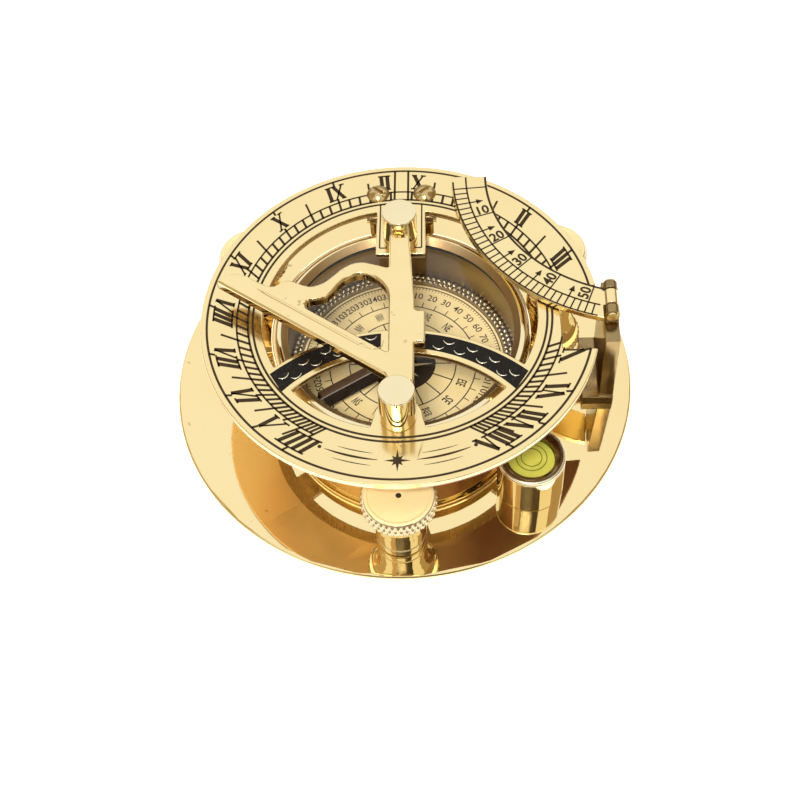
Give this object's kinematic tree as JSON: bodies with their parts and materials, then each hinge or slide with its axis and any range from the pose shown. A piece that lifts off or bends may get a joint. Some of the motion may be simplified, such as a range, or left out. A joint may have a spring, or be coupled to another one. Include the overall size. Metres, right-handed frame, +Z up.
{
  "type": "sundial compass",
  "caption": "Brass sundial over a glazed compass drum, on a round base with levelling screws and a spirit level, with a hinged hour ring, folding gnomon and latitude arc.",
  "frame": {"origin": "centre of the base plate at table level", "axes": "+Z up, +Y towards the twelve o'clock mark and the ring's hinge, +X towards the afternoon hours and the latitude arc"},
  "size_m": [0.128, 0.128, 0.0489],
  "materials": {
    "brass": "polished",
    "card": "printed",
    "needle_steel": "blued, one half bare",
    "gasket": "matt",
    "glass": "clear",
    "level_liquid": "clear yellow-green"
  },
  "bodies": {
    "base": {"base_plate": "brass", "screw_bushes": "brass", "compass_drum": "brass", "milled_ring": "brass", "compass_card": "card", "pivot_pin": "brass", "glass_gasket": "gasket", "compass_glass": "glass", "drum_bezel": "brass", "drum_screws": "brass", "hinge_block": "brass", "hinge_pin": "brass", "block_screws": "brass", "arc_bracket": "brass", "arc_pin": "brass", "bracket_screws": "brass", "level_cup": "brass", "level_vial": "glass", "level_fluid": "level_liquid", "level_rim": "brass", "level_screw": "brass"},
    "compass_needle": {"needle": "needle_steel", "needle_cap": "brass"},
    "hour_ring": {"hour_ring": "brass", "hinge_leaf": "brass", "leaf_screws": "brass", "front_post": "brass", "back_post": "brass", "post_nuts": "brass"},
    "gnomon": {"gnomon": "brass"},
    "latitude_arc": {"latitude_arc": "brass"},
    "foot_front": {"foot_front": "brass"},
    "screw_front": {"levelling_screw_front": "brass"},
    "foot_right": {"foot_right": "brass"},
    "screw_right": {"levelling_screw_right": "brass"},
    "foot_left": {"foot_left": "brass"},
    "screw_left": {"levelling_screw_left": "brass"}
  },
  "joints": [
    {"name": "ring_tilt", "type": "hinge", "parent": "base", "child": "hour_ring", "pos_m": [0, 0.038, 0.0324], "axis": [-1, 0, 0], "range_deg": [0, 36]},
    {"name": "arc_fold", "type": "hinge", "parent": "base", "child": "latitude_arc", "pos_m": [0.0563, 0.0026, 0.0383], "axis": [0, 1, 0], "range_deg": [0, 90]},
    {"name": "gnomon_fold", "type": "hinge", "parent": "hour_ring", "child": "gnomon", "pos_m": [0, -0.0038, 0.0443], "axis": [0, 1, 0], "range_deg": [0, 90]},
    {"name": "needle_swing", "type": "hinge", "parent": "base", "child": "compass_needle", "pos_m": [0, 0, 0.0168], "axis": [0, 0, 1], "continuous": true},
    {"name": "foot_front_slide", "type": "slide", "parent": "base", "child": "foot_front", "axis": [0, 0, 1], "range_m": [0, 0.002]},
    {"name": "screw_front_turn", "type": "hinge", "parent": "foot_front", "child": "screw_front", "pos_m": [0, -0.0512, 0.0248], "axis": [0, 0, 1], "range_deg": [0, 720]},
    {"name": "foot_right_slide", "type": "slide", "parent": "base", "child": "foot_right", "axis": [0, 0, 1], "range_m": [0, 0.002]},
    {"name": "screw_right_turn", "type": "hinge", "parent": "foot_right", "child": "screw_right", "pos_m": [0.04245, 0.02863, 0.0248], "axis": [0, 0, 1], "range_deg": [0, 720]},
    {"name": "foot_left_slide", "type": "slide", "parent": "base", "child": "foot_left", "axis": [0, 0, 1], "range_m": [0, 0.002]},
    {"name": "screw_left_turn", "type": "hinge", "parent": "foot_left", "child": "screw_left", "pos_m": [-0.04245, 0.02863, 0.0248], "axis": [0, 0, 1], "range_deg": [0, 720]}
  ],
  "couplings": [
    {"joint": "arc_fold", "follows": "ring_tilt", "ratio": 2.5},
    {"joint": "screw_front_turn", "follows": "foot_front_slide", "rad_per_m": 6283},
    {"joint": "screw_right_turn", "follows": "foot_right_slide", "rad_per_m": 6283},
    {"joint": "screw_left_turn", "follows": "foot_left_slide", "rad_per_m": 6283}
  ]
}
